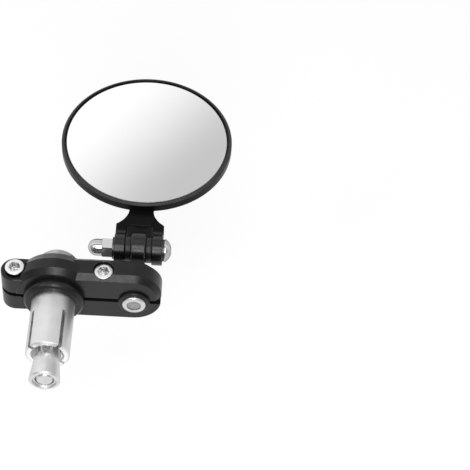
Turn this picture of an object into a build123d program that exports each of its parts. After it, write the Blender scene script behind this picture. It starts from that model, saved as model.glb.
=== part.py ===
from build123d import *
import math
import os

# Round mirror on a folding stem, carried by a split clamp arm on an expanding bar insert.
# Millimetres. The insert's axis is Y: the insert points to -Y and the arm lies behind the flange.
# The arm runs along +X and the mirror glass faces +Z.

# Fits and gaps
RUN_FIT = 0.05            # radial clearance of every turning or sliding pair
SEAT_FIT = 0.05           # radial clearance of pieces that are fixed to each other
FACE_GAP = 0.05           # gap between flat faces that turn on each other
THROUGH = 60.0            # reach of a cut that goes right through

# Bar insert
TUBE_R = 9.25
TUBE_LENGTH = 26.0        # from the flange to the mouth
SPIGOT_R = 8.3            # turned-down end of the tube that sits in the bush
SPIGOT_LENGTH = 6.0
TUBE_BORE_R = 4.7
MOUTH_R = 7.0             # wide end of the tapered mouth
MOUTH_DEPTH = 6.2
MOUTH_EDGE = 0.3
SLOT_WIDTH = 1.6
SLOT_LENGTH = 18.2
SLOT_ANGLES = (37.0, 127.0)
FLANGE_R = 13.0
FLANGE_THICK = 3.84
FLANGE_ROUND = 2.6
SLEEVE_R = 11.5
BUSH_LENGTH = 15.0

# Expander bolt and cone
BOLT_R = 4.0
BOLT_HOLE_R = 4.25
BOLT_HEAD_R = 8.0
BOLT_HEAD_HEIGHT = 7.5
BOLT_SOCKET_FLATS = 6.0
BOLT_SOCKET_DEPTH = 4.0
BOLT_TIP_INSET = 0.6      # the bolt's tip stands this far inside the cone's end
BOLT_TIP_CHAMFER = 0.8
WASHER_R = 9.6
WASHER_THICK = 1.6
CONE_NOSE_OUT = 1.0       # distances are from the tube's mouth
CONE_SHOULDER_OUT = 4.0
CONE_END_OUT = 13.1
CONE_NOSE_R = 4.8
CONE_SHOULDER_R = 5.5
CONE_END_R = 6.55
CONE_RECESS_R = 5.1
CONE_RECESS_DEPTH = 0.8
CONE_EDGE = 0.6

# Clamp arm
ARM_DEPTH = 12.0
ARM_TOP = 15.17
ARM_BOTTOM = 12.05
ARM_CHAMFER = 2.29        # front bevel of the upper half
ARM_BACK_CHAMFER = 2.9
ARM_EDGE = 0.5            # edge break on the lower half
SPLIT_GAP = 2.2
UPPER_RISE = 2.97         # the upper half's round end is struck from this height
END_SHORT = 0.8           # both round ends are struck this far short of the swivel
BARREL_R = 18.2
BARREL_STRAIGHT = 7.1     # the barrel's slow back taper starts this far behind its front face
BARREL_BACK_R = 15.2
BARREL_LOWER_R = 14.5
LUG_X = -16.9
LUG_Y = 10.3
LUG_R = 6.0
LUG_TOP = 10.0
LUG_BOTTOM = 10.25
LUG_EDGE = 0.4
LUG_SPOT_R = 5.2          # spot face that clears the screw head beside the barrel

# Clamp screws, with the place of each axis and the height of each head seat
LUG_SCREW = (LUG_X, LUG_Y, 6.8)
MIDDLE_SCREW = (20.8, 8.8, 8.75)
SCREW_R = 2.5
SCREW_CLEAR_R = 2.75
SCREW_LENGTH = 16.0
SCREW_HEAD_R = 4.1
SCREW_HEAD_HEIGHT = 5.0
SCREW_HEAD_CLEAR = 0.25
SCREW_SOCKET_FLATS = 4.0
SCREW_SOCKET_DEPTH = 2.6
SCREW_EDGE = 0.4

# Swivel
SWIVEL_X = 34.0
SHAFT_R = 6.0
SHOULDER_R = 7.5
SHOULDER_THICK = 2.6
STUB_LENGTH = 2.0
COLLAR_R = 6.75
COLLAR_THICK = 1.3
COLLAR_ROUND = 0.7
BUTTON_R = 5.05
BUTTON_HEIGHT = 2.05
BUTTON_FACE_R = 3.3
BUTTON_SOCKET_FLATS = 3.9
BUTTON_SOCKET_DEPTH = 1.6
SWIVEL_SCREW_LENGTH = 12.0

# Fold hinge
HINGE_STAND = 16.39       # hinge axis behind the arm's back face
TONGUE_WIDTH = 6.1
TONGUE_R = 7.5
TONGUE_NECK = 4.4
TONGUE_EDGE = 0.4
FORK_WIDTH = 21.0
EAR_THICK = 4.65
EAR_R = 6.7
SPACER_R = 5.0
PIN_R = 2.5
PIN_HEAD_R = 4.95
PIN_HEAD_HEIGHT = 3.1
PIN_HEAD_FACE_R = 3.1
PIN_SOCKET_FLATS = 3.0
HINGE_WASHER_R = 4.75
HINGE_WASHER_THICK = 0.8
NUT_FLATS = 8.0
NUT_TURN = 21.2           # the nut as it was left after tightening
NUT_HEX = 4.65
NUT_DOME = 6.0
NUT_DOME_R = 3.7
NUT_BORE_DEPTH = 7.5

# Stem
CROTCH = 10.5             # slot end beyond the hinge axis
CROTCH_ROUND = 1.2
FLARE_START = 11.2        # the fork's sides start to narrow here, beyond the hinge axis
FLARE_BOW = 0.95          # hollow of the narrowing sides
NECK_OUT = 18.5           # the neck is reached here, beyond the hinge axis
NECK_WIDTH = 10.7
STEM_TOP = 3.5
STEM_BOTTOM = 4.3
STEM_ROUND = 1.0          # hollow round between the ears and the flat stem
STEM_EDGE = 0.4           # edge round of the ears and the stem
STEM_REACH = 49.5         # the stem runs this far beyond the hinge axis, into the dish

# Mirror
MIRROR_REACH = 57.1       # dish centre beyond the hinge axis
DISH_R = 38.4
RIM_FRONT_Z = 7.6
RIM_BEVEL = 0.7
RIM_LIP = 0.35            # bevel on the rim's inner edge, round the glass
WALL_HEIGHT = 4.2
BACK_BEVEL = 2.0          # bevel between the side wall and the domed back
BACK_DROP = 6.2           # depth of the domed back below its bevel
DISH_WALL = 2.4
GLASS_R = 36.5
GLASS_CLEAR = 0.1
GLASS_SET = 0.6           # the glass edge lies this far below the rim
GLASS_EDGE_THICK = 2.4
GLASS_BEVEL = 0.4
GLASS_CROWN = 0.45        # the convex front's rise at the middle
TAPE_THICK = 0.8
LEDGE_WIDTH = 4.5
POCKET_STEP = 0.8

# Positions that follow from the sizes
mouth_y = -TUBE_LENGTH
arm_front = FLANGE_THICK + FACE_GAP
arm_back = arm_front + ARM_DEPTH
head_seat_y = BUSH_LENGTH + WASHER_THICK + FACE_GAP
hinge_y = arm_back + HINGE_STAND
mirror_y = hinge_y + MIRROR_REACH
slot_half = FORK_WIDTH / 2 - EAR_THICK
fork_left = SWIVEL_X - FORK_WIDTH / 2
fork_right = SWIVEL_X + FORK_WIDTH / 2
collar_back = arm_front - FACE_GAP
collar_front = collar_back - COLLAR_THICK
upper_end_r = ARM_TOP - UPPER_RISE
end_x = SWIVEL_X - END_SHORT


def rod(start, end, radius):
    """Round bar between two points."""
    way = Vector(*end) - Vector(*start)
    bar = Cylinder(radius, way.length, align=(Align.CENTER, Align.CENTER, Align.MIN))
    return Plane(origin=start, z_dir=way) * bar


def ring(start, end, radius, hole):
    """Washer or sleeve between two points."""
    return rod(start, end, radius) - rod(start, end, hole)


def turned(start, way, outline):
    """Solid of revolution about an axis from start; outline holds (radius, distance) pairs."""
    points = [(radius, 0, distance) for radius, distance in outline]
    profile = make_face(Polyline(*points, close=True))
    return Plane(origin=start, z_dir=way) * revolve(profile, Axis.Z)


def hexagon(start, way, flats, length, turn=0.0):
    """Hexagonal bar from start along way, turned about its axis by some degrees."""
    face = Rot(0, 0, turn) * RegularPolygon(flats / 2, 6, major_radius=False)
    return Plane(origin=start, z_dir=way) * extrude(face, length)


def patch(x0, x1, y0, y1):
    """Flat rectangle between two corners."""
    return Pos((x0 + x1) / 2, (y0 + y1) / 2) * Rectangle(x1 - x0, y1 - y0)


def cap_arc(radius, rim_z, rise):
    """Arc of a ball-shaped cap from its rim to its middle; a negative rise bulges down."""
    ball = (radius ** 2 + rise ** 2) / (2 * abs(rise))
    lift = math.sqrt(ball ** 2 - (radius / 2) ** 2) - ball + abs(rise)
    halfway = (radius / 2, 0, rim_z + math.copysign(lift, rise))
    return ThreePointArc((radius, 0, rim_z), halfway, (0, 0, rim_z + rise))


def button_head(start, way, radius, height, face_radius):
    """Domed head with a flat face, standing on start."""
    sag = (radius + face_radius) / 2 + (radius - face_radius) * 0.16
    side = height * 0.3
    wall = Polyline((0, 0, 0), (radius, 0, 0), (radius, 0, side))
    crown = ThreePointArc((radius, 0, side), (sag, 0, height * 0.76), (face_radius, 0, height))
    cap = Polyline((face_radius, 0, height), (0, 0, height), (0, 0, 0))
    profile = make_face([wall.edges(), crown.edges(), cap.edges()])
    return Plane(origin=start, z_dir=way) * revolve(profile, Axis.Z)


def flanged_bush():
    """Flange against the bar end, sleeve for the arm, socket for the tube's spigot."""
    bush = rod((0, 0, 0), (0, FLANGE_THICK, 0), FLANGE_R)
    rim = bush.edges().filter_by(GeomType.CIRCLE).group_by(Axis.Y)[0]
    bush = fillet(rim, FLANGE_ROUND)
    bush += rod((0, 0, 0), (0, BUSH_LENGTH, 0), SLEEVE_R)
    bush -= rod((0, -1, 0), (0, SPIGOT_LENGTH, 0), SPIGOT_R + SEAT_FIT)
    return bush - rod((0, 0, 0), (0, BUSH_LENGTH + 1, 0), BOLT_HOLE_R)


def expander_tube():
    """Slotted tube with a spigot at the bush and a tapered mouth for the cone."""
    tube = rod((0, mouth_y, 0), (0, 0, 0), TUBE_R)
    tube = chamfer(tube.edges().filter_by(GeomType.CIRCLE).sort_by(Axis.Y)[0], MOUTH_EDGE)
    tube -= rod((0, mouth_y, 0), (0, 0, 0), TUBE_BORE_R)
    tube += ring((0, 0, 0), (0, SPIGOT_LENGTH, 0), SPIGOT_R, TUBE_BORE_R)
    mouth = [(0, 0), (MOUTH_R, 0), (TUBE_BORE_R, MOUTH_DEPTH), (0, MOUTH_DEPTH)]
    tube -= turned((0, mouth_y, 0), (0, 1, 0), mouth)
    slot = Box(SLOT_WIDTH, SLOT_LENGTH * 2, 3 * TUBE_R)
    for angle in SLOT_ANGLES:
        tube -= Pos(0, mouth_y, 0) * Rot(0, angle, 0) * slot
    return tube


def expander_bolt():
    """Long socket head bolt, head behind the arm."""
    head = rod((0, head_seat_y, 0), (0, head_seat_y + BOLT_HEAD_HEIGHT, 0), BOLT_HEAD_R)
    head = chamfer(head.edges().filter_by(GeomType.CIRCLE).sort_by(Axis.Y)[-1], BOLT_TIP_CHAMFER)
    tip_y = mouth_y - CONE_END_OUT + BOLT_TIP_INSET
    shank = rod((0, head_seat_y, 0), (0, tip_y, 0), BOLT_R)
    shank = chamfer(shank.edges().filter_by(GeomType.CIRCLE).sort_by(Axis.Y)[0], BOLT_TIP_CHAMFER)
    socket_y = head_seat_y + BOLT_HEAD_HEIGHT
    return head + shank - hexagon((0, socket_y, 0), (0, -1, 0), BOLT_SOCKET_FLATS, BOLT_SOCKET_DEPTH)


def expander_cone():
    """Wedge nut on the bolt, drawn into the tube's mouth as the bolt turns."""
    inner = BOLT_R + RUN_FIT
    outline = [
        (inner, CONE_NOSE_OUT),
        (CONE_NOSE_R, CONE_NOSE_OUT),
        (CONE_SHOULDER_R, CONE_SHOULDER_OUT),
        (CONE_END_R, CONE_END_OUT - CONE_EDGE),
        (CONE_END_R - CONE_EDGE, CONE_END_OUT),
        (CONE_RECESS_R, CONE_END_OUT),
        (CONE_RECESS_R, CONE_END_OUT - CONE_RECESS_DEPTH),
        (inner, CONE_END_OUT - CONE_RECESS_DEPTH),
    ]
    return turned((0, mouth_y, 0), (0, -1, 0), outline)


def arm_plate(outline, front_edge, back_edge):
    """Extrudes an arm outline through the arm's depth and bevels its outer edges."""
    plate = extrude(Plane.XZ.offset(-arm_back) * outline, ARM_DEPTH)
    for side, edge in ((0, front_edge), (-1, back_edge)):
        edges = plate.faces().filter_by(Axis.Y).sort_by(Axis.Y)[side].edges()
        plate = chamfer(edges.filter_by(lambda e: abs(e.center().Z) > SPLIT_GAP / 2 + 0.01), edge)
    return plate


def lug_block(z0, z1):
    """Round clamp lug beside the barrel, between two heights."""
    plan = Pos(LUG_X, LUG_Y) * Circle(LUG_R)
    plan += patch(LUG_X, -SLEEVE_R / 2, LUG_Y - LUG_R, LUG_Y + LUG_R)
    lug = extrude(Pos(0, 0, z0) * plan, z1 - z0)
    outer_z = max(z0, z1, key=abs)
    rims = lug.edges().filter_by(GeomType.CIRCLE).filter_by(lambda e: abs(e.center().Z - outer_z) < 0.01)
    return chamfer(rims, LUG_EDGE)


def arm_bores():
    """Cuts for the bush sleeve and the swivel shaft."""
    bush_bore = rod((0, -THROUGH, 0), (0, THROUGH, 0), SLEEVE_R + RUN_FIT)
    return bush_bore + rod((SWIVEL_X, -THROUGH, 0), (SWIVEL_X, THROUGH, 0), SHAFT_R + RUN_FIT)


def arm_barrel():
    """Upper half of the barrel, bevelled at the front and slowly tapered at the back."""
    outline = [
        (0, 0),
        (BARREL_R - ARM_CHAMFER, 0),
        (BARREL_R, ARM_CHAMFER),
        (BARREL_R, BARREL_STRAIGHT),
        (BARREL_BACK_R, ARM_DEPTH),
        (0, ARM_DEPTH),
    ]
    above_split = Pos(0, 0, SPLIT_GAP / 2 + THROUGH / 2) * Box(THROUGH, THROUGH, THROUGH)
    return turned((0, arm_front, 0), (0, 1, 0), outline) & above_split


def arm_upper_half():
    """Thick half: barrel, bar and round end with a broad bevel, sunk screw heads."""
    outline = patch(0, end_x, 0, ARM_TOP)
    outline += Pos(end_x, UPPER_RISE) * Circle(upper_end_r)
    outline += patch(0, end_x + upper_end_r, 0, UPPER_RISE)
    outline &= patch(-THROUGH, 2 * THROUGH, SPLIT_GAP / 2, THROUGH)
    half = arm_plate(outline, ARM_CHAMFER, ARM_BACK_CHAMFER) + arm_barrel()
    half += lug_block(SPLIT_GAP / 2, LUG_TOP)
    half -= arm_bores()
    half -= rod((LUG_X, LUG_Y, LUG_TOP), (LUG_X, LUG_Y, THROUGH), LUG_SPOT_R)
    for x, y, seat in (LUG_SCREW, MIDDLE_SCREW):
        half -= rod((x, y, 0), (x, y, THROUGH), SCREW_CLEAR_R)
        half -= rod((x, y, seat), (x, y, THROUGH), SCREW_HEAD_R + SCREW_HEAD_CLEAR)
    return half


def arm_lower_half():
    """Thin half: the clamp screws are tapped into it."""
    outline = Circle(BARREL_LOWER_R)
    outline += patch(0, end_x, -ARM_BOTTOM, 0)
    outline += Pos(end_x, 0) * Circle(ARM_BOTTOM)
    outline &= patch(-THROUGH, 2 * THROUGH, -THROUGH, -SPLIT_GAP / 2)
    half = arm_plate(outline, ARM_EDGE, ARM_EDGE)
    half += lug_block(-LUG_BOTTOM, -SPLIT_GAP / 2)
    half -= arm_bores()
    for x, y, seat in (LUG_SCREW, MIDDLE_SCREW):
        half -= rod((x, y, 0), (x, y, -THROUGH), SCREW_R + SEAT_FIT)
    return half


def clamp_screw(x, y, seat):
    """Socket head screw that pulls the two arm halves together."""
    top = seat + SCREW_HEAD_HEIGHT
    head = rod((x, y, seat), (x, y, top), SCREW_HEAD_R)
    head = chamfer(head.edges().filter_by(GeomType.CIRCLE).sort_by(Axis.Z)[-1], SCREW_EDGE)
    shank = rod((x, y, seat), (x, y, seat - SCREW_LENGTH), SCREW_R)
    shank = chamfer(shank.edges().filter_by(GeomType.CIRCLE).sort_by(Axis.Z)[0], SCREW_EDGE)
    return head + shank - hexagon((x, y, top), (0, 0, -1), SCREW_SOCKET_FLATS, SCREW_SOCKET_DEPTH)


def swivel_shaft():
    """Shaft in the arm's end bore, with a shoulder and the tongue of the fold hinge."""
    shoulder_y = arm_back + FACE_GAP
    stub_y = shoulder_y + SHOULDER_THICK
    shaft = rod((SWIVEL_X, collar_back, 0), (SWIVEL_X, stub_y + STUB_LENGTH, 0), SHAFT_R)
    shaft += rod((SWIVEL_X, shoulder_y, 0), (SWIVEL_X, stub_y, 0), SHOULDER_R)
    neck = Box(TONGUE_WIDTH, hinge_y - stub_y, TONGUE_NECK)
    shaft += Pos(SWIVEL_X, (hinge_y + stub_y) / 2, 0) * neck
    left = SWIVEL_X - TONGUE_WIDTH / 2
    right = SWIVEL_X + TONGUE_WIDTH / 2
    knuckle = rod((left, hinge_y, 0), (right, hinge_y, 0), TONGUE_R)
    shaft += chamfer(knuckle.edges().filter_by(GeomType.CIRCLE), TONGUE_EDGE)
    shaft -= rod((left - 1, hinge_y, 0), (right + 1, hinge_y, 0), PIN_R + RUN_FIT)
    tapped = collar_front + SWIVEL_SCREW_LENGTH + 1
    return shaft - rod((SWIVEL_X, 0, 0), (SWIVEL_X, tapped, 0), SCREW_R + SEAT_FIT)


def swivel_collar():
    """Collar on the shaft's front end, with a rounded front edge."""
    collar = rod((SWIVEL_X, collar_front, 0), (SWIVEL_X, collar_back, 0), COLLAR_R)
    collar = fillet(collar.edges().filter_by(GeomType.CIRCLE).group_by(Axis.Y)[0], COLLAR_ROUND)
    return collar - rod((SWIVEL_X, collar_front - 1, 0), (SWIVEL_X, collar_back + 1, 0), SCREW_CLEAR_R)


def swivel_screw():
    """Button head screw that holds the collar."""
    seat = (SWIVEL_X, collar_front, 0)
    head = button_head(seat, (0, -1, 0), BUTTON_R, BUTTON_HEIGHT, BUTTON_FACE_R)
    shank = rod(seat, (SWIVEL_X, collar_front + SWIVEL_SCREW_LENGTH, 0), SCREW_R)
    face = (SWIVEL_X, collar_front - BUTTON_HEIGHT, 0)
    return head + shank - hexagon(face, (0, 1, 0), BUTTON_SOCKET_FLATS, BUTTON_SOCKET_DEPTH)


def stem_and_fork():
    """Stem that narrows from the fork to the neck, cut from its plan and its side view."""
    half = FORK_WIDTH / 2
    neck = NECK_WIDTH / 2
    front = -EAR_R - 1
    chord = math.hypot(half - neck, NECK_OUT - FLARE_START)
    bow_x = (half + neck) / 2 - FLARE_BOW * (NECK_OUT - FLARE_START) / chord
    bow_y = (NECK_OUT + FLARE_START) / 2 - FLARE_BOW * (half - neck) / chord
    right = Polyline((half, front), (half, FLARE_START))
    right_flare = ThreePointArc((half, FLARE_START), (bow_x, bow_y), (neck, NECK_OUT))
    end = Polyline((neck, NECK_OUT), (neck, STEM_REACH), (-neck, STEM_REACH), (-neck, NECK_OUT))
    left_flare = ThreePointArc((-neck, NECK_OUT), (-bow_x, bow_y), (-half, FLARE_START))
    left = Polyline((-half, FLARE_START), (-half, front), (half, front))
    plan = make_face([right.edges(), right_flare.edges(), end.edges(), left_flare.edges(), left.edges()])
    body = extrude(Pos(0, 0, -EAR_R - 1) * plan, 2 * EAR_R + 2)

    side = Circle(EAR_R) + patch(0, STEM_REACH, -STEM_BOTTOM, STEM_TOP)
    corners = side.vertices().filter_by(lambda v: abs(math.hypot(v.X, v.Y) - EAR_R) < 0.01)
    side = fillet(corners, STEM_ROUND) - Circle(PIN_R + SEAT_FIT)
    body &= extrude(Plane.YZ.offset(-half - 1) * side, FORK_WIDTH + 2)

    slot = RectangleRounded(2 * slot_half, 2 * (CROTCH + EAR_R), CROTCH_ROUND)
    body -= extrude(Pos(0, -EAR_R, -EAR_R - 1) * slot, 2 * EAR_R + 2)
    arcs = body.edges().filter_by(GeomType.CIRCLE)
    ears = arcs.filter_by(lambda e: abs(e.radius - EAR_R) < 0.01)
    flares = arcs.filter_by(lambda e: e.center().Y > FLARE_START and abs(e.center().X) > neck)
    body = fillet(ears + flares, STEM_EDGE)
    return Pos(SWIVEL_X, hinge_y, 0) * body


def mirror_housing():
    """Dish with a ledge for the glass and a hollow domed back, in one piece with the stem."""
    wall_foot = RIM_FRONT_Z - WALL_HEIGHT
    recess_r = GLASS_R + GLASS_CLEAR
    ledge = RIM_FRONT_Z - GLASS_SET - GLASS_EDGE_THICK - TAPE_THICK
    pocket_r = recess_r - LEDGE_WIDTH
    pocket_top = ledge - POCKET_STEP
    back_z = wall_foot - BACK_BEVEL - BACK_DROP
    pocket_floor = back_z + DISH_WALL
    centre = Pos(SWIVEL_X, mirror_y, 0)

    outer_back = cap_arc(DISH_R - BACK_BEVEL, wall_foot - BACK_BEVEL, -BACK_DROP)
    outer_wall = Polyline(
        (DISH_R - BACK_BEVEL, 0, wall_foot - BACK_BEVEL),
        (DISH_R, 0, wall_foot),
        (DISH_R, 0, RIM_FRONT_Z - RIM_BEVEL),
        (DISH_R - RIM_BEVEL, 0, RIM_FRONT_Z),
        (0, 0, RIM_FRONT_Z),
        (0, 0, back_z),
    )
    dish = revolve(make_face([outer_back.edges(), outer_wall.edges()]), Axis.Z)

    inner_back = cap_arc(pocket_r, pocket_top, pocket_floor - pocket_top)
    inner_wall = Polyline(
        (pocket_r, 0, pocket_top),
        (pocket_r, 0, ledge),
        (recess_r, 0, ledge),
        (recess_r, 0, RIM_FRONT_Z - RIM_LIP),
        (recess_r + RIM_LIP, 0, RIM_FRONT_Z),
        (recess_r + RIM_LIP, 0, RIM_FRONT_Z + 1),
        (0, 0, RIM_FRONT_Z + 1),
        (0, 0, pocket_floor),
    )
    hollow = revolve(make_face([inner_back.edges(), inner_wall.edges()]), Axis.Z)

    return centre * dish + stem_and_fork() - centre * hollow


def mirror_glass():
    """Round glass with a slightly convex front."""
    edge_z = RIM_FRONT_Z - GLASS_SET
    back_z = edge_z - GLASS_EDGE_THICK
    front = cap_arc(GLASS_R - GLASS_BEVEL, edge_z, GLASS_CROWN)
    rest = Polyline(
        (0, 0, edge_z + GLASS_CROWN),
        (0, 0, back_z),
        (GLASS_R, 0, back_z),
        (GLASS_R, 0, edge_z - GLASS_BEVEL),
        (GLASS_R - GLASS_BEVEL, 0, edge_z),
    )
    glass = revolve(make_face([front.edges(), rest.edges()]), Axis.Z)
    return Pos(SWIVEL_X, mirror_y, 0) * glass


def glass_tape():
    """Ring of tape between the ledge and the glass."""
    top = RIM_FRONT_Z - GLASS_SET - GLASS_EDGE_THICK
    outer = GLASS_R - 0.4
    inner = GLASS_R + GLASS_CLEAR - LEDGE_WIDTH + 0.4
    return ring((SWIVEL_X, mirror_y, top - TAPE_THICK), (SWIVEL_X, mirror_y, top), outer, inner)


def hinge_ring(x0, x1, radius):
    """Washer or spacer on the hinge bolt, between two places along X."""
    return ring((x0, hinge_y, 0), (x1, hinge_y, 0), radius, PIN_R + SEAT_FIT)


def hinge_bolt():
    """Button head bolt through the fork, spacers and tongue into the dome nut."""
    seat = (fork_right + HINGE_WASHER_THICK, hinge_y, 0)
    head = button_head(seat, (1, 0, 0), PIN_HEAD_R, PIN_HEAD_HEIGHT, PIN_HEAD_FACE_R)
    tip = fork_left - HINGE_WASHER_THICK - NUT_BORE_DEPTH + 1
    shank = rod(seat, (tip, hinge_y, 0), PIN_R)
    face = (seat[0] + PIN_HEAD_HEIGHT, hinge_y, 0)
    return head + shank - hexagon(face, (-1, 0, 0), PIN_SOCKET_FLATS, BUTTON_SOCKET_DEPTH)


def dome_nut():
    """Hexagon nut with a closed dome."""
    seat_x = fork_left - HINGE_WASHER_THICK
    nut = hexagon((seat_x, hinge_y, 0), (-1, 0, 0), NUT_FLATS, NUT_HEX, NUT_TURN)
    corner = NUT_FLATS / 2 / math.cos(math.pi / 6)
    bevel = (corner - NUT_DOME_R) / 2
    lathe = [(0, 0), (corner, 0), (corner, NUT_HEX - bevel), (NUT_DOME_R, NUT_HEX), (0, NUT_HEX)]
    nut &= turned((seat_x, hinge_y, 0), (-1, 0, 0), lathe)
    straight = NUT_DOME - NUT_DOME_R
    nut += rod((seat_x - NUT_HEX, hinge_y, 0), (seat_x - NUT_HEX - straight, hinge_y, 0), NUT_DOME_R)
    nut += Pos(seat_x - NUT_HEX - straight, hinge_y, 0) * Sphere(NUT_DOME_R)
    return nut - rod((seat_x + 1, hinge_y, 0), (seat_x - NUT_BORE_DEPTH, hinge_y, 0), PIN_R + SEAT_FIT)


tongue_half = TONGUE_WIDTH / 2 + FACE_GAP
parts = {
    "flanged_bush": flanged_bush(),
    "expander_tube": expander_tube(),
    "bolt_washer": ring((0, BUSH_LENGTH, 0), (0, BUSH_LENGTH + WASHER_THICK, 0), WASHER_R, BOLT_HOLE_R),
    "expander_bolt": expander_bolt(),
    "expander_cone": expander_cone(),
    "arm_upper_half": arm_upper_half(),
    "arm_lower_half": arm_lower_half(),
    "clamp_screw_lug": clamp_screw(*LUG_SCREW),
    "clamp_screw_middle": clamp_screw(*MIDDLE_SCREW),
    "swivel_shaft": swivel_shaft(),
    "swivel_collar": swivel_collar(),
    "swivel_screw": swivel_screw(),
    "mirror_housing": mirror_housing(),
    "mirror_glass": mirror_glass(),
    "glass_tape": glass_tape(),
    "hinge_bolt": hinge_bolt(),
    "dome_nut": dome_nut(),
    "hinge_washer_left": hinge_ring(fork_left - HINGE_WASHER_THICK, fork_left, HINGE_WASHER_R),
    "hinge_washer_right": hinge_ring(fork_right, fork_right + HINGE_WASHER_THICK, HINGE_WASHER_R),
    "hinge_spacer_left": hinge_ring(SWIVEL_X - slot_half, SWIVEL_X - tongue_half, SPACER_R),
    "hinge_spacer_right": hinge_ring(SWIVEL_X + tongue_half, SWIVEL_X + slot_half, SPACER_R),
}

os.makedirs("parts", exist_ok=True)
for name, part in parts.items():
    export_step(part, f"parts/{name}.step")
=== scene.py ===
import bmesh
import bpy
import math
from mathutils import Euler, Matrix


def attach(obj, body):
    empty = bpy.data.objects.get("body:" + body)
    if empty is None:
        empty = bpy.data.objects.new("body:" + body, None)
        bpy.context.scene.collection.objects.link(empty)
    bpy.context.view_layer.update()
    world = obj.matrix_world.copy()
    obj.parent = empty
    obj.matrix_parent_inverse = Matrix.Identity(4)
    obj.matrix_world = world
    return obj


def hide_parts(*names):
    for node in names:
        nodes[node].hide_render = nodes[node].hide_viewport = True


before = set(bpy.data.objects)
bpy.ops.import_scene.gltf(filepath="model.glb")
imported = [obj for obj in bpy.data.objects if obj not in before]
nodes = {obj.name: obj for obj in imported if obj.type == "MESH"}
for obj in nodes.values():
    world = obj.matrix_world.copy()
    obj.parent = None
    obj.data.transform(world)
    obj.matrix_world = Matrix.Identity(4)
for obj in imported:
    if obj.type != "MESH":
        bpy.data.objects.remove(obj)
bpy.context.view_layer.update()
MM = 0.001


# Places on the part that the finishes and small pieces go by

SWIVEL_X = 34 * MM
SWIVEL_AXIS = (SWIVEL_X, 0, 0)
COLLAR_FRONT_Y = 2.54 * MM
HINGE_Y = 32.28 * MM
EAR_END_Y = 39.6 * MM
GLASS_CENTRE = (SWIVEL_X, 89.38 * MM, 0)
GLASS_FACE_R = 36.05 * MM
# Inside the lip radius the rim gets a painted shade ring; above the rim edge and outside that radius it gets
# a painted sheen.
RIM_LIP_R = 37.05 * MM
RIM_EDGE_Z = 6.95 * MM
# Radius inside which the tube gets painted light.
BORE_LIGHT_R = 8.6 * MM
BARE_TIP_Y = -20 * MM
LUG_SEAT = (-16.9 * MM, 10.3 * MM, 6.8 * MM)
MIDDLE_SEAT = (20.8 * MM, 8.8 * MM, 8.75 * MM)
LEFT_SPACER_X = 28.15 * MM
RIGHT_SPACER_X = 37.1 * MM
PIVOT_SEAT_X = 45.3 * MM


# Sizes of the small pieces

ROUND_SIDES = 72
BORE_SIDES = 48
HEX_SIDES = 6
TOUCH = 0.001 * MM
TIP_CHAMFER = 0.4 * MM
SHANK_R = 2.5 * MM

BUTTON_R = 5.05 * MM
BUTTON_HEIGHT = 1.1 * MM
BUTTON_ROUNDING = 0.85 * MM
BUTTON_LENGTH = 12 * MM
BUTTON_FLATS = 5.4 * MM
BUTTON_SOCKET_DEPTH = 0.45 * MM
BUTTON_EASING = 0.12 * MM
BUTTON_FACE_R = 3.1 * MM

HEAD_R = 4.1 * MM
HEAD_HEIGHT = 5 * MM
HEAD_ROUNDING = 0.4 * MM
# Depth below the head's top where the painted side shade begins.
HEAD_BRIGHT_DEPTH = 0.45 * MM
CLAMP_LENGTH = 16 * MM
CLAMP_FLATS = 4.5 * MM
CLAMP_SOCKET_DEPTH = 2.6 * MM
CLAMP_EASING = 0.08 * MM
SOCKET_R = 2.5 * MM
SOCKET_TURN = math.radians(30)

PIVOT_HEAD_R = 4.95 * MM
PIVOT_HEAD_HEIGHT = 3.1 * MM
PIVOT_SKIRT = 0.6 * MM
PIVOT_LENGTH = 29.1 * MM
PIVOT_FLATS = 3 * MM
PIVOT_SOCKET_DEPTH = 1.6 * MM
PIVOT_EASING = 0.1 * MM

SPACER_R = 5.85 * MM
SPACER_WIDTH = 2.75 * MM
SPACER_PLAY = 0.05 * MM
SPACER_EASING = 0.25 * MM


# Patterns of the finishes: scale and detail of each noise, and how strongly it stands out

COAT_MOTTLE = (160, 4)
COAT_GLOSS = (420, 5)
COAT_PEEL_DETAIL = 3
COAT_PEEL = 0.25
METAL_CLOUD = (130, 4)
METAL_GLOSS = (300, 5)
METAL_LINES = (1, 3)
METAL_LINE_RELIEF = 0.2
# These grains also pattern painted light and shade: light in the tube's bore (the first also gives the
# bolt's bare tip), shade in the sockets, glints in the clamp sockets and shade on the clamp heads' sides.
BARE_TIP_AND_BORE_LIGHT_GRAIN = (300, 3)
SOCKET_SHADE_GRAIN = (900, 4)
SOCKET_SHADE_SPECKLE = (1300, 4)
SIDE_SHADE_GRAIN = (500, 3)
SILVER_CLOUD = (25, 2)
SEAM_GRAIN = (600, 3)
WIPE_MARKS = (1, 4)
WIPE_WAY = (30, 90, 30)


# Node helpers


def new_material(name):
    """Empty node material with its output."""
    material = bpy.data.materials.new(name)
    material.use_nodes = True
    tree = material.node_tree
    tree.nodes.clear()
    output = tree.nodes.new("ShaderNodeOutputMaterial")
    return material, tree, output


def add_node(tree, kind, **sockets):
    """Node with some of its input sockets set by name."""
    node = tree.nodes.new(kind)
    for socket, value in sockets.items():
        node.inputs[socket.replace("_", " ")].default_value = value
    return node


def start_finish(name, **sockets):
    """Material with one shader on its output."""
    material, tree, output = new_material(name)
    shader = add_node(tree, "ShaderNodeBsdfPrincipled", **sockets)
    tree.links.new(shader.outputs["BSDF"], output.inputs["Surface"])
    return material, tree, shader


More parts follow.
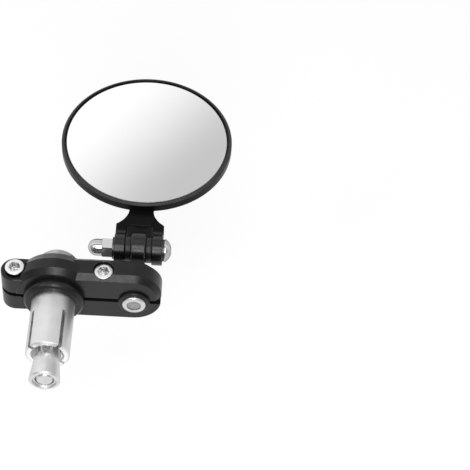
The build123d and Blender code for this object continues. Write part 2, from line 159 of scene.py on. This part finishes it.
def grain(tree, scale, detail, stretch=(1, 1, 1)):
    """Noise on Object coordinates, stretched along an axis where the finish runs that way."""
    place = tree.nodes.new("ShaderNodeTexCoord")
    mapping = add_node(tree, "ShaderNodeMapping", Scale=stretch)
    noise = add_node(tree, "ShaderNodeTexNoise", Scale=scale, Detail=detail)
    tree.links.new(place.outputs["Object"], mapping.inputs["Vector"])
    tree.links.new(mapping.outputs["Vector"], noise.inputs["Vector"])
    return noise.outputs["Fac"]


def spread(tree, source, low, high, start=0.3, stop=0.7):
    """Spreads a noise over a range of plain numbers."""
    remap = add_node(
        tree, "ShaderNodeMapRange", From_Min=start, From_Max=stop, To_Min=low, To_Max=high)
    tree.links.new(source, remap.inputs["Value"])
    return remap.outputs["Result"]


def tint(tree, source, dark, light, start=0.3, stop=0.7):
    """Spreads a noise between two colours."""
    ramp = tree.nodes.new("ShaderNodeValToRGB")
    ramp.color_ramp.elements[0].position = start
    ramp.color_ramp.elements[1].position = stop
    ramp.color_ramp.elements[0].color = (*dark, 1)
    ramp.color_ramp.elements[1].color = (*light, 1)
    tree.links.new(source, ramp.inputs["Fac"])
    return ramp.outputs["Color"]


def relief(tree, source, strength, depth):
    """Bump from a noise, depth in metres."""
    bump = add_node(tree, "ShaderNodeBump", Strength=strength, Distance=depth)
    tree.links.new(source, bump.inputs["Height"])
    return bump.outputs["Normal"]


def past(tree, axis, edge, blend):
    """Nought before a place along one Object axis and one past it, in metres."""
    place = tree.nodes.new("ShaderNodeTexCoord")
    split = tree.nodes.new("ShaderNodeSeparateXYZ")
    tree.links.new(place.outputs["Object"], split.inputs["Vector"])
    return spread(tree, split.outputs[axis], 0, 1, edge - blend / 2, edge + blend / 2)


def from_axis(tree, centre, across, radius, blend):
    """Nought near an axis and one past a radius from it; across is nought along the axis."""
    place = tree.nodes.new("ShaderNodeTexCoord")
    shift = [-c * a for c, a in zip(centre, across)]
    mapping = add_node(tree, "ShaderNodeMapping", Location=shift, Scale=across)
    length = tree.nodes.new("ShaderNodeVectorMath")
    length.operation = "LENGTH"
    tree.links.new(place.outputs["Object"], mapping.inputs["Vector"])
    tree.links.new(mapping.outputs["Vector"], length.inputs[0])
    return spread(tree, length.outputs["Value"], 0, 1, radius - blend / 2, radius + blend / 2)


def blend_colours(tree, factor, first, second):
    """Blends two colours by a factor."""
    mix = tree.nodes.new("ShaderNodeMix")
    mix.data_type = "RGBA"
    tree.links.new(factor, mix.inputs["Factor"])
    tree.links.new(first, mix.inputs["A"])
    tree.links.new(second, mix.inputs["B"])
    return mix.outputs["Result"]


def lay_under(tree, colour, factor, other):
    """Shows another colour where the factor is nought, and the finish so far where it is one."""
    so_far = colour.links[0].from_socket
    tree.links.new(blend_colours(tree, factor, other, so_far), colour)


# Finishes

ALONG_Y = (1, 0, 1)
ALONG_Z = (1, 1, 0)


def coat(tree, shader, smooth, rough, peel_scale, peel_depth):
    """Cloudy gloss and orange peel of a coating."""
    tree.links.new(spread(tree, grain(tree, *COAT_GLOSS), smooth, rough), shader.inputs["Roughness"])
    peel = relief(tree, grain(tree, peel_scale, COAT_PEEL_DETAIL), COAT_PEEL, peel_depth)
    tree.links.new(peel, shader.inputs["Normal"])


def coated_black(name, dark, light, smooth, rough, sheen, peel_scale, peel_depth):
    """Black coating on cast metal: soft mottling, orange peel and a fine tooth."""
    material, tree, shader = start_finish(name, Specular_IOR_Level=sheen)
    tree.links.new(tint(tree, grain(tree, *COAT_MOTTLE), dark, light), shader.inputs["Base Color"])
    coat(tree, shader, smooth, rough, peel_scale, peel_depth)
    return material


def housing_coating(name):
    """Deep black on the stem and dish wall, shinier on the round ears, a painted grey sheen on the rim's
    front and a painted shade ring of deep black on its inner lip.
    """
    material, tree, shader = start_finish(name)
    mottle = grain(tree, *COAT_MOTTLE)
    deep = tint(tree, mottle, (0.0025, 0.0025, 0.0027), (0.005, 0.005, 0.0053))
    # Painted sheen: the rim's front is greyer in place of the reflection it shows.
    painted_rim_sheen = tint(tree, mottle, (0.044, 0.044, 0.045), (0.058, 0.058, 0.059))
    # Painted shade: inside the lip radius the rim stays deep black, as the gap by the glass is shaded.
    past_lip = from_axis(tree, GLASS_CENTRE, ALONG_Z, RIM_LIP_R, blend=0.1 * MM)
    face = blend_colours(tree, past_lip, deep, painted_rim_sheen)
    rim = past(tree, "Z", RIM_EDGE_Z, blend=0.3 * MM)
    tree.links.new(blend_colours(tree, rim, deep, face), shader.inputs["Base Color"])
    sheen = add_node(tree, "ShaderNodeMapRange", To_Min=0.42, To_Max=0.08)
    tree.links.new(past(tree, "Y", EAR_END_Y, blend=1 * MM), sheen.inputs["Value"])
    tree.links.new(sheen.outputs["Result"], shader.inputs["Specular IOR Level"])
    coat(tree, shader, smooth=0.26, rough=0.34, peel_scale=900, peel_depth=0.02 * MM)
    return material


def bright_metal(name, dark, light, side, smooth, rough, stretch, line_depth, metal=1.0):
    """Plated or turned metal: fine tool lines, faint clouding and a reflection that dulls at a low angle."""
    material, tree, shader = start_finish(name, Metallic=metal, Specular_Tint=(side, side, side, 1))
    colour = shader.inputs["Base Color"]
    tree.links.new(tint(tree, grain(tree, *METAL_CLOUD), dark, light), colour)
    tree.links.new(spread(tree, grain(tree, *METAL_GLOSS), smooth, rough), shader.inputs["Roughness"])
    lines = relief(tree, grain(tree, *METAL_LINES, stretch), METAL_LINE_RELIEF, line_depth)
    tree.links.new(lines, shader.inputs["Normal"])
    return material, tree, colour


TURNED = {
    "dark": (0.68, 0.68, 0.685), "light": (0.76, 0.76, 0.765), "side": 0.78,
    "smooth": 0.38, "rough": 0.48, "stretch": (40, 2600, 40), "line_depth": 0.03 * MM,
}
PLATED = {
    "side": 0.5, "smooth": 0.24, "rough": 0.34, "stretch": (900, 900, 900), "line_depth": 0.01 * MM,
}
DULL = {**PLATED, "smooth": 0.3, "rough": 0.4}


def tube_zinc(name):
    """Turned zinc of the tube, with painted light making it brighter in its bore and on the ends of its
    fingers.
    """
    material, tree, colour = bright_metal(name, **TURNED)
    # Painted light: the bore is made brighter in place of the shade that falls in it.
    bore = tint(tree, grain(tree, *BARE_TIP_AND_BORE_LIGHT_GRAIN), (0.93, 0.93, 0.93), (0.98, 0.98, 0.98))
    past_bore = from_axis(tree, (0, 0, 0), ALONG_Y, BORE_LIGHT_R, blend=0.3 * MM)
    lay_under(tree, colour, past_bore, bore)
    return material


def bolt_zinc(name):
    """Zinc of the long bolt, lighter on its bare cut tip."""
    material, tree, colour = bright_metal(name, (0.4, 0.4, 0.405), (0.5, 0.5, 0.505), **PLATED)
    bare = tint(tree, grain(tree, *BARE_TIP_AND_BORE_LIGHT_GRAIN), (0.62, 0.62, 0.62), (0.74, 0.74, 0.74))
    lay_under(tree, colour, past(tree, "Y", BARE_TIP_Y, blend=1 * MM), bare)
    return material


def button_zinc(name):
    """Zinc of the button screw, grey and grainy with painted shade in its shallow socket."""
    material, tree, colour = bright_metal(name, (0.6, 0.6, 0.605), (0.72, 0.72, 0.725), **PLATED)
    # Painted shade: the socket is darker than the head around it.
    face = tint(tree, grain(tree, *SOCKET_SHADE_GRAIN), (0.24, 0.24, 0.24), (0.4, 0.4, 0.4))
    past_socket_shade = from_axis(tree, SWIVEL_AXIS, ALONG_Y, BUTTON_FACE_R, blend=0.4 * MM)
    lay_under(tree, colour, past_socket_shade, face)
    return material


def clamp_zinc(name, seat):
    """Zinc of a clamp screw: bright top, painted shade with painted glints in the socket, painted shade on
    the side down in the counterbore.
    """
    material, tree, colour = bright_metal(name, (0.8, 0.8, 0.81), (0.92, 0.92, 0.925), **PLATED)
    # Painted shade: the head's side below its bright top is darkened where the counterbore shades it.
    painted_side_shade = tint(tree, grain(tree, *SIDE_SHADE_GRAIN), (0.015, 0.015, 0.016), (0.04, 0.04, 0.042))
    bright_edge = seat[2] + HEAD_HEIGHT - HEAD_BRIGHT_DEPTH
    lay_under(tree, colour, past(tree, "Z", bright_edge, blend=0.15 * MM), painted_side_shade)
    # Painted shade with painted glints: dark and bright patches inside the socket.
    socket_shade_speckle = grain(tree, *SOCKET_SHADE_SPECKLE)
    painted_socket_shade_and_glints = tint(tree, socket_shade_speckle, (0.3, 0.3, 0.3), (0.95, 0.95, 0.95), start=0.38, stop=0.62)
    lay_under(tree, colour, from_axis(tree, seat, ALONG_Z, SOCKET_R, blend=0.3 * MM), painted_socket_shade_and_glints)
    return material


def silvered_glass(name):
    """Mirror glass: clean silvering with faint wipe marks in the gloss, and a dull ground edge."""
    material, tree, shader = start_finish(name, Metallic=1.0)
    ground = from_axis(tree, GLASS_CENTRE, ALONG_Z, GLASS_FACE_R, blend=0.1 * MM)
    silver = tint(tree, grain(tree, *SILVER_CLOUD), (0.95, 0.95, 0.95), (0.97, 0.97, 0.97))
    seam = tint(tree, grain(tree, *SEAM_GRAIN), (0.3, 0.3, 0.3), (0.42, 0.42, 0.42))
    tree.links.new(blend_colours(tree, ground, silver, seam), shader.inputs["Base Color"])
    wiped = spread(tree, grain(tree, *WIPE_MARKS, WIPE_WAY), low=0.008, high=0.025)
    dull = add_node(tree, "ShaderNodeMapRange", To_Max=0.5)
    tree.links.new(ground, dull.inputs["Value"])
    tree.links.new(wiped, dull.inputs["To Min"])
    tree.links.new(dull.outputs["Result"], shader.inputs["Roughness"])
    return material


satin_black = coated_black(
    "satin_black_coating", dark=(0.0045, 0.0045, 0.0049), light=(0.0085, 0.0085, 0.009),
    smooth=0.29, rough=0.36, sheen=0.33, peel_scale=2200, peel_depth=0.03 * MM)
gloss_black = coated_black(
    "gloss_black_coating", dark=(0.005, 0.005, 0.0055), light=(0.009, 0.009, 0.0095),
    smooth=0.26, rough=0.34, sheen=0.4, peel_scale=900, peel_depth=0.02 * MM)
black_nylon = coated_black(
    "moulded_black_nylon", dark=(0.006, 0.006, 0.006), light=(0.01, 0.01, 0.01),
    smooth=0.34, rough=0.42, sheen=0.4, peel_scale=1500, peel_depth=0.03 * MM)
foam_tape = coated_black(
    "foam_tape", dark=(0.03, 0.03, 0.03), light=(0.06, 0.06, 0.06),
    smooth=0.7, rough=0.85, sheen=0.5, peel_scale=1800, peel_depth=0.06 * MM)
housing_black = housing_coating("housing_black_coating")
turned_zinc, _, _ = bright_metal("turned_zinc", **TURNED)
plain_zinc, _, _ = bright_metal("plain_zinc", (0.46, 0.46, 0.465), (0.56, 0.56, 0.565), **PLATED)
dull_zinc, _, _ = bright_metal("dull_zinc", (0.06, 0.06, 0.062), (0.1, 0.1, 0.102), **DULL)
polished_chrome, _, _ = bright_metal(
    "polished_chrome", dark=(0.5, 0.5, 0.505), light=(0.58, 0.58, 0.585), side=0.35,
    smooth=0.12, rough=0.22, stretch=(500, 500, 500), line_depth=0.004 * MM, metal=0.85)
slotted_tube_zinc = tube_zinc("slotted_tube_zinc")
long_bolt_zinc = bolt_zinc("long_bolt_zinc")
lug_zinc = clamp_zinc("lug_screw_zinc", LUG_SEAT)
middle_zinc = clamp_zinc("middle_screw_zinc", MIDDLE_SEAT)
swivel_zinc = button_zinc("swivel_screw_zinc")
mirror_silver = silvered_glass("mirror_silver")

FINISHES = {
    "flanged_bush": satin_black,
    "expander_tube": slotted_tube_zinc,
    "bolt_washer": plain_zinc,
    "expander_bolt": long_bolt_zinc,
    "expander_cone": turned_zinc,
    "arm_upper_half": satin_black,
    "arm_lower_half": satin_black,
    "clamp_screw_lug": lug_zinc,
    "clamp_screw_middle": middle_zinc,
    "swivel_shaft": gloss_black,
    "swivel_collar": satin_black,
    "swivel_screw": swivel_zinc,
    "mirror_housing": housing_black,
    "mirror_glass": mirror_silver,
    "glass_tape": foam_tape,
    "hinge_bolt": plain_zinc,
    "dome_nut": polished_chrome,
    "hinge_washer_left": dull_zinc,
    "hinge_washer_right": dull_zinc,
    "hinge_spacer_left": black_nylon,
    "hinge_spacer_right": black_nylon,
}
for node_name, finish in FINISHES.items():
    mesh = nodes[node_name].data
    mesh.materials.clear()
    mesh.materials.append(finish)


# Small pieces

EASED_ANGLE = math.radians(35)
SMOOTH_ANGLE = math.radians(30)
FACING_FRONT = (math.pi / 2, 0, 0)
FACING_RIGHT = (0, math.pi / 2, 0)
FACING_UP = (0, 0, SOCKET_TURN)


def choose_only(piece):
    """Makes one piece the only chosen one."""
    bpy.ops.object.select_all(action="DESELECT")
    piece.select_set(True)
    bpy.context.view_layer.objects.active = piece


def start_round(name, radius, height, sides=ROUND_SIDES):
    """Round or six-sided bar that stands on the origin, ready for shaping."""
    bpy.ops.object.select_all(action="DESELECT")
    bpy.ops.mesh.primitive_cylinder_add(
        vertices=sides, radius=radius, depth=height, location=(0, 0, height / 2))
    piece = bpy.context.object
    piece.name = name
    piece.data.name = name
    bpy.ops.object.transform_apply(location=True, rotation=True, scale=True)
    return piece


def pick(piece, kind, low, high):
    """Edit mode with only the edges or faces chosen that lie between two heights."""
    bpy.ops.object.mode_set(mode="EDIT")
    bpy.ops.mesh.select_mode(type=kind)
    bpy.ops.mesh.select_all(action="DESELECT")
    shape = bmesh.from_edit_mesh(piece.data)
    for part in shape.edges if kind == "EDGE" else shape.faces:
        if all(low <= corner.co.z <= high for corner in part.verts):
            part.select_set(True)
    bmesh.update_edit_mesh(piece.data)


def grow_shank(piece, head_r, shank_r, length):
    """Draws the shank out of the head's underside and eases its tip."""
    pick(piece, "FACE", -TOUCH, TOUCH)
    bpy.ops.mesh.inset(thickness=head_r - shank_r)
    bpy.ops.mesh.extrude_region_move(TRANSFORM_OT_translate={"value": (0, 0, -length)})
    pick(piece, "EDGE", -length - TOUCH, -length + TOUCH)
    bpy.ops.mesh.bevel(offset=TIP_CHAMFER, segments=1, affect="EDGES")
    bpy.ops.object.mode_set(mode="OBJECT")


def round_top(piece, height, width, steps):
    """Rounds the rim of the head's top."""
    pick(piece, "EDGE", height - TOUCH, height + TOUCH)
    bpy.ops.mesh.bevel(offset=width, segments=steps, profile=0.5, affect="EDGES")
    bpy.ops.object.mode_set(mode="OBJECT")


def dome_top(piece, radius, skirt, height, steps):
    """Draws the flat top up into a dome, ring by ring."""
    bow = height - skirt
    ball_r = (radius ** 2 + bow ** 2) / (2 * bow)
    low_r = radius
    low_z = skirt
    for step in range(1, steps + 1):
        lean = math.asin(radius / ball_r) * (1 - step / (steps + 1))
        next_r = ball_r * math.sin(lean)
        next_z = height - ball_r + ball_r * math.cos(lean)
        pick(piece, "FACE", low_z - TOUCH, low_z + TOUCH)
        bpy.ops.mesh.inset(thickness=low_r - next_r)
        bpy.ops.transform.translate(value=(0, 0, next_z - low_z))
        low_r = next_r
        low_z = next_z
    bpy.ops.object.mode_set(mode="OBJECT")


def cut(piece, tool):
    """Takes the tool's shape out of the piece and clears the tool away."""
    hole = piece.modifiers.new("cut", "BOOLEAN")
    hole.object = tool
    hole.solver = "EXACT"
    bpy.context.view_layer.objects.active = piece
    bpy.ops.object.modifier_apply(modifier=hole.name)
    bpy.data.objects.remove(tool, do_unlink=True)


def cut_socket(piece, top, flats, depth):
    """Six-sided socket in the head's top."""
    tool = start_round("socket_tool", flats / math.sqrt(3), depth + 1 * MM, HEX_SIDES)
    tool.location.z = top - depth
    cut(piece, tool)


def ease_edges(piece, width):
    """Takes the sharpness off every edge."""
    ease = piece.modifiers.new("eased_edges", "BEVEL")
    ease.width = width
    ease.segments = 2
    ease.limit_method = "ANGLE"
    ease.angle_limit = EASED_ANGLE
    bpy.context.view_layer.objects.active = piece
    bpy.ops.object.modifier_apply(modifier=ease.name)


def fit(piece, spot, turn, finish, body, node):
    """Puts a finished piece in its place, on its body and in the CAD node's stead."""
    choose_only(piece)
    piece.location = spot
    piece.rotation_euler = turn
    bpy.ops.object.transform_apply(location=True, rotation=True, scale=True)
    bpy.ops.object.shade_smooth_by_angle(angle=SMOOTH_ANGLE)
    piece.data.materials.clear()
    piece.data.materials.append(finish)
    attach(piece, body)
    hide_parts(node)


def copy_of(piece, name):
    """Second piece of the same shape, with its own mesh."""
    choose_only(piece)
    bpy.ops.object.duplicate(linked=False)
    twin = bpy.context.object
    twin.name = name
    twin.data.name = name
    return twin


# Button screw in the collar

button_screw = start_round("button_screw", BUTTON_R, BUTTON_HEIGHT)
round_top(button_screw, BUTTON_HEIGHT, BUTTON_ROUNDING, steps=8)
grow_shank(button_screw, BUTTON_R, SHANK_R, BUTTON_LENGTH)
cut_socket(button_screw, BUTTON_HEIGHT, BUTTON_FLATS, BUTTON_SOCKET_DEPTH)
ease_edges(button_screw, BUTTON_EASING)
button_seat = (SWIVEL_X, COLLAR_FRONT_Y, 0)
fit(button_screw, button_seat, FACING_FRONT, swivel_zinc, "swivel", "swivel_screw")


# Clamp screws

lug_screw = start_round("lug_screw", HEAD_R, HEAD_HEIGHT)
round_top(lug_screw, HEAD_HEIGHT, HEAD_ROUNDING, steps=3)
grow_shank(lug_screw, HEAD_R, SHANK_R, CLAMP_LENGTH)
cut_socket(lug_screw, HEAD_HEIGHT, CLAMP_FLATS, CLAMP_SOCKET_DEPTH)
ease_edges(lug_screw, CLAMP_EASING)
middle_screw = copy_of(lug_screw, "middle_screw")
fit(lug_screw, LUG_SEAT, FACING_UP, lug_zinc, "clamp_arm", "clamp_screw_lug")
fit(middle_screw, MIDDLE_SEAT, FACING_UP, middle_zinc, "clamp_arm", "clamp_screw_middle")


# Hinge bolt and spacers

pivot_bolt = start_round("pivot_bolt", PIVOT_HEAD_R, PIVOT_SKIRT)
dome_top(pivot_bolt, PIVOT_HEAD_R, PIVOT_SKIRT, PIVOT_HEAD_HEIGHT, steps=10)
grow_shank(pivot_bolt, PIVOT_HEAD_R, SHANK_R, PIVOT_LENGTH)
cut_socket(pivot_bolt, PIVOT_HEAD_HEIGHT, PIVOT_FLATS, PIVOT_SOCKET_DEPTH)
ease_edges(pivot_bolt, PIVOT_EASING)
pivot_seat = (PIVOT_SEAT_X, HINGE_Y, 0)
fit(pivot_bolt, pivot_seat, FACING_RIGHT, plain_zinc, "mirror_head", "hinge_bolt")

left_spacer = start_round("left_spacer", SPACER_R, SPACER_WIDTH)
cut(left_spacer, start_round("spacer_bore", SHANK_R + SPACER_PLAY, SPACER_WIDTH, BORE_SIDES))
ease_edges(left_spacer, SPACER_EASING)
right_spacer = copy_of(left_spacer, "right_spacer")
for spacer, spacer_x, node_name in (
        (left_spacer, LEFT_SPACER_X, "hinge_spacer_left"),
        (right_spacer, RIGHT_SPACER_X, "hinge_spacer_right")):
    spacer_seat = (spacer_x, HINGE_Y, 0)
    fit(spacer, spacer_seat, FACING_RIGHT, black_nylon, "mirror_head", node_name)


# Stage: floor, room light, lamps and camera

FLOOR_SIZE = 6
FLOOR_Z = -135 * MM
FLOOR_PAINT = (0.8, 0.8, 0.8, 1)
FLOOR_SHADED = (0.3, 0.3, 0.3, 1)
FLOOR_GLOW = 0.76
WHITE = (1, 1, 1, 1)
ROOM_LIGHT = 0.5
SCREEN_EDGE_WAY = (-0.719, 0.695, 0)
SCREEN_EDGE = (0.431, 0.541)
SCREEN_GREY = 0.585
SCREEN_WHITE = 1.06
FRONT_SCREEN = 0.45
TOP_SCREEN = 1.3
FRONT_TO_TOP = (0.02, 0.14)
TOP_TO_BACK = (0.42, 0.54)

LAMP_AIM = (0.03, 0.04, 0)
LAMP_DISTANCE = 0.9

PHOTO_PIXELS = 470
FOCAL_PIXELS = 1800
SENSOR = 36
CAMERA_PLACE = (65.99 * MM, -452.33 * MM, 615.89 * MM)
CAMERA_DIP = 51.185
CAMERA_HEADING = -1.119
CAMERA_ROLL = 3.86


def seen_rays(tree):
    """One for rays of the camera, and for reflections and see-through of what it sees."""
    path = tree.nodes.new("ShaderNodeLightPath")
    seen = path.outputs["Is Camera Ray"]
    for kind in ("Is Glossy Ray", "Is Transmission Ray"):
        either = tree.nodes.new("ShaderNodeMath")
        either.operation = "MAXIMUM"
        tree.links.new(seen, either.inputs[0])
        tree.links.new(path.outputs[kind], either.inputs[1])
        seen = either.outputs["Value"]
    return seen


def show_to_camera(tree, output_socket, lit_shader, seen_shader):
    """The seen shader to the camera and in reflections, the lit shader to everything else."""
    mix = tree.nodes.new("ShaderNodeMixShader")
    tree.links.new(seen_rays(tree), mix.inputs["Fac"])
    tree.links.new(lit_shader.outputs[0], mix.inputs[1])
    tree.links.new(seen_shader.outputs[0], mix.inputs[2])
    tree.links.new(mix.outputs["Shader"], output_socket)


def studio_floor():
    """White floor that keeps the object's shadow, low enough for the mirror to hang straight down."""
    bpy.ops.object.select_all(action="DESELECT")
    bpy.ops.mesh.primitive_plane_add(size=FLOOR_SIZE, location=(0, 0, FLOOR_Z))
    floor = bpy.context.object
    floor.name = "studio_floor"
    material, tree, output = new_material("studio_floor_white")
    paint = add_node(tree, "ShaderNodeBsdfDiffuse", Color=FLOOR_PAINT)
    shaded = add_node(tree, "ShaderNodeBsdfDiffuse", Color=FLOOR_SHADED)
    glow = add_node(tree, "ShaderNodeEmission", Color=WHITE, Strength=FLOOR_GLOW)
    white = tree.nodes.new("ShaderNodeAddShader")
    tree.links.new(shaded.outputs[0], white.inputs[0])
    tree.links.new(glow.outputs[0], white.inputs[1])
    show_to_camera(tree, output.inputs["Surface"], paint, white)
    floor.data.materials.append(material)


def fade_between(tree, source, edge, soft, **ends):
    """Fades from one end to the other between two places, evenly or softly."""
    fade = add_node(tree, "ShaderNodeMapRange", From_Min=edge[0], From_Max=edge[1], **ends)
    if soft:
        fade.interpolation_type = "SMOOTHSTEP"
    tree.links.new(source, fade.inputs["Value"])
    return fade


def studio_room(scene):
    """Even room light, and what the room shows in reflections: a white left and back, a greyer right."""
    world = bpy.data.worlds.new("studio_room")
    scene.world = world
    world.use_nodes = True
    tree = world.node_tree
    tree.nodes.clear()
    output = tree.nodes.new("ShaderNodeOutputWorld")
    room = add_node(tree, "ShaderNodeBackground", Color=WHITE, Strength=ROOM_LIGHT)
    place = tree.nodes.new("ShaderNodeTexCoord")
    slant = tree.nodes.new("ShaderNodeVectorMath")
    slant.operation = "DOT_PRODUCT"
    slant.inputs[1].default_value = SCREEN_EDGE_WAY
    tree.links.new(place.outputs["Generated"], slant.inputs[0])
    split = tree.nodes.new("ShaderNodeSeparateXYZ")
    tree.links.new(place.outputs["Generated"], split.inputs["Vector"])
    back = fade_between(
        tree, slant.outputs["Value"], SCREEN_EDGE, soft=True, To_Min=SCREEN_GREY, To_Max=SCREEN_WHITE)
    above = fade_between(
        tree, split.outputs["Y"], FRONT_TO_TOP, soft=False, To_Min=FRONT_SCREEN, To_Max=TOP_SCREEN)
    behind = fade_between(tree, split.outputs["Y"], TOP_TO_BACK, soft=True)
    tree.links.new(above.outputs["Result"], behind.inputs["To Min"])
    tree.links.new(back.outputs["Result"], behind.inputs["To Max"])
    backdrop = add_node(tree, "ShaderNodeBackground", Color=WHITE)
    tree.links.new(behind.outputs["Result"], backdrop.inputs["Strength"])
    show_to_camera(tree, output.inputs["Surface"], room, backdrop)


def softbox(scene, name, turn, rise, width, height, glare):
    """Rectangular soft lamp, placed round the object by angles and set by the brightness of its face."""
    lamp = bpy.data.lights.new(name, "AREA")
    lamp.shape = "RECTANGLE"
    lamp.size = width
    lamp.size_y = height
    lamp.energy = glare * math.pi * width * height
    holder = bpy.data.objects.new(name, lamp)
    scene.collection.objects.link(holder)
    around = math.radians(turn)
    up = math.radians(rise)
    way = (math.sin(around) * math.cos(up), -math.cos(around) * math.cos(up), math.sin(up))
    holder.location = [a + LAMP_DISTANCE * w for a, w in zip(LAMP_AIM, way)]
    holder.rotation_euler = (math.pi / 2 - up, 0, around)


def photo_camera(scene):
    """Camera at the place and lens that were fitted to the photo."""
    lens = bpy.data.cameras.new("photo_camera")
    lens.sensor_width = SENSOR
    lens.lens = FOCAL_PIXELS / PHOTO_PIXELS * SENSOR
    camera = bpy.data.objects.new("photo_camera", lens)
    scene.collection.objects.link(camera)
    camera.location = CAMERA_PLACE
    level_view = Euler((math.radians(90 - CAMERA_DIP), 0, math.radians(CAMERA_HEADING))).to_matrix()
    roll = Matrix.Rotation(math.radians(CAMERA_ROLL), 3, "Z")
    camera.rotation_euler = (level_view @ roll).to_euler()
    scene.camera = camera


scene = bpy.context.scene
studio_floor()
studio_room(scene)
softbox(scene, "key_softbox", turn=0, rise=66, width=0.3, height=0.25, glare=7)
softbox(scene, "front_softbox", turn=0, rise=40, width=0.34, height=0.3, glare=7.5)
softbox(scene, "left_softbox", turn=-55, rise=45, width=0.4, height=0.4, glare=2.5)
softbox(scene, "right_softbox", turn=55, rise=45, width=0.4, height=0.4, glare=0.6)
photo_camera(scene)
scene.view_settings.view_transform = "Standard"
